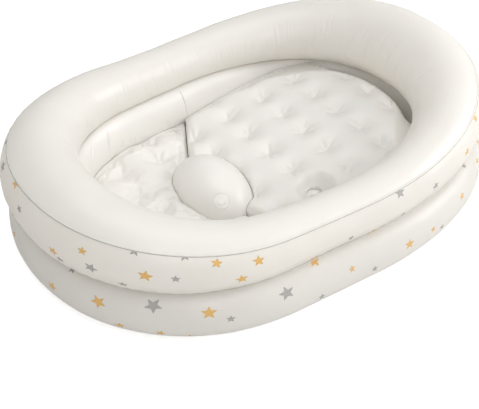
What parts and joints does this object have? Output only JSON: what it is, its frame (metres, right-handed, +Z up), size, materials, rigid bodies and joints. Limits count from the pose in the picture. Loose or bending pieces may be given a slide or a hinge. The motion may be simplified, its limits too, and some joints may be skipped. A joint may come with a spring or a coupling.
{
  "type": "inflatable bathtub",
  "caption": "Egg-shaped inflatable bath for a baby: two stacked air rings with a printed outer wall, a quilted sloping seat, a saddle horn, air valves and a drain plug.",
  "frame": {"origin": "on the ground, on the bath's middle line, on the underside of the base sheet", "axes": "+X to the head end, +Z up, +Y to the side with the ring valves"},
  "size_m": [0.8645, 0.6484, 0.2066],
  "materials": {
    "white_vinyl": "semi-gloss calendered vinyl sheet",
    "printed_vinyl": "semi-gloss vinyl sheet printed with stars",
    "floor_vinyl": "semi-gloss vinyl sheet",
    "moulded_vinyl": "soft moulded vinyl, slightly clear"
  },
  "bodies": {
    "tub": {"upper_chamber": "white_vinyl", "upper_printed_band": "printed_vinyl", "upper_seam": "white_vinyl", "chamber_divider": "white_vinyl", "lower_chamber": "white_vinyl", "lower_printed_band": "printed_vinyl", "base_sheet": "white_vinyl", "seat_pad": "floor_vinyl", "foot_pad": "floor_vinyl", "saddle_horn": "white_vinyl", "horn_flange": "white_vinyl", "drain_seat": "moulded_vinyl", "upper_valve_flange": "moulded_vinyl", "lower_valve_flange": "moulded_vinyl", "floor_valve_flange": "moulded_vinyl", "horn_valve_flange": "moulded_vinyl"},
    "drain_plug": {"drain_plug": "moulded_vinyl"},
    "upper_stem": {"upper_valve_stem": "moulded_vinyl"},
    "upper_cap": {"upper_valve_cap": "moulded_vinyl"},
    "upper_flap": {"upper_check_flap": "moulded_vinyl"},
    "lower_stem": {"lower_valve_stem": "moulded_vinyl"},
    "lower_cap": {"lower_valve_cap": "moulded_vinyl"},
    "lower_flap": {"lower_check_flap": "moulded_vinyl"},
    "floor_stem": {"floor_valve_stem": "moulded_vinyl"},
    "floor_cap": {"floor_valve_cap": "moulded_vinyl"},
    "floor_flap": {"floor_check_flap": "moulded_vinyl"},
    "horn_stem": {"horn_valve_stem": "moulded_vinyl"},
    "horn_cap": {"horn_valve_cap": "moulded_vinyl"},
    "horn_flap": {"horn_check_flap": "moulded_vinyl"}
  },
  "joints": [
    {"name": "drain_plug_strap", "type": "hinge", "parent": "tub", "child": "drain_plug", "pos_m": [-0.2195, 0, 0.0041], "axis": [0, 1, 0], "range_deg": [0, 95]},
    {"name": "upper_stem_slide", "type": "slide", "parent": "tub", "child": "upper_stem", "axis": [-0.0252, 0.9997, 0], "range_m": [0, 0.013]},
    {"name": "upper_cap_strap", "type": "hinge", "parent": "upper_stem", "child": "upper_cap", "pos_m": [0.03075, 0.301, 0.12032], "axis": [0.9997, 0.0252, 0], "range_deg": [0, 140]},
    {"name": "upper_flap_bend", "type": "hinge", "parent": "upper_stem", "child": "upper_flap", "pos_m": [0.03127, 0.28045, 0.11602], "axis": [-0.9997, -0.0252, 0], "range_deg": [0, 50], "stiffness_Nm_per_rad": 0.0005},
    {"name": "lower_stem_slide", "type": "slide", "parent": "tub", "child": "lower_stem", "axis": [-0.0252, 0.9997, 0], "range_m": [0, 0.013]},
    {"name": "lower_cap_strap", "type": "hinge", "parent": "lower_stem", "child": "lower_cap", "pos_m": [0.03022, 0.32219, 0.0437], "axis": [0.9997, 0.0252, 0], "range_deg": [0, 140]},
    {"name": "lower_flap_bend", "type": "hinge", "parent": "lower_stem", "child": "lower_flap", "pos_m": [0.03073, 0.30164, 0.0394], "axis": [-0.9997, -0.0252, 0], "range_deg": [0, 50], "stiffness_Nm_per_rad": 0.0005},
    {"name": "floor_stem_slide", "type": "slide", "parent": "tub", "child": "floor_stem", "axis": [0, 0, 1], "range_m": [0, 0.013]},
    {"name": "floor_cap_strap", "type": "hinge", "parent": "floor_stem", "child": "floor_cap", "pos_m": [0.0313, -0.128, 0.03492], "axis": [0, -1, 0], "range_deg": [0, 100]},
    {"name": "floor_flap_bend", "type": "hinge", "parent": "floor_stem", "child": "floor_flap", "pos_m": [0.0356, -0.128, 0.01437], "axis": [0, 1, 0], "range_deg": [0, 50], "stiffness_Nm_per_rad": 0.0005},
    {"name": "horn_stem_slide", "type": "slide", "parent": "tub", "child": "horn_stem", "axis": [-0.4199, -0.5374, 0.7314], "range_m": [0, 0.013]},
    {"name": "horn_cap_strap", "type": "hinge", "parent": "horn_stem", "child": "horn_cap", "pos_m": [-0.10311, -0.05728, 0.05241], "axis": [-0.788, 0.6157, 0], "range_deg": [0, 110]},
    {"name": "horn_flap_bend", "type": "hinge", "parent": "horn_stem", "child": "horn_flap", "pos_m": [-0.09642, -0.04871, 0.03445], "axis": [0.788, -0.6157, 0], "range_deg": [0, 50], "stiffness_Nm_per_rad": 0.0005}
  ]
}
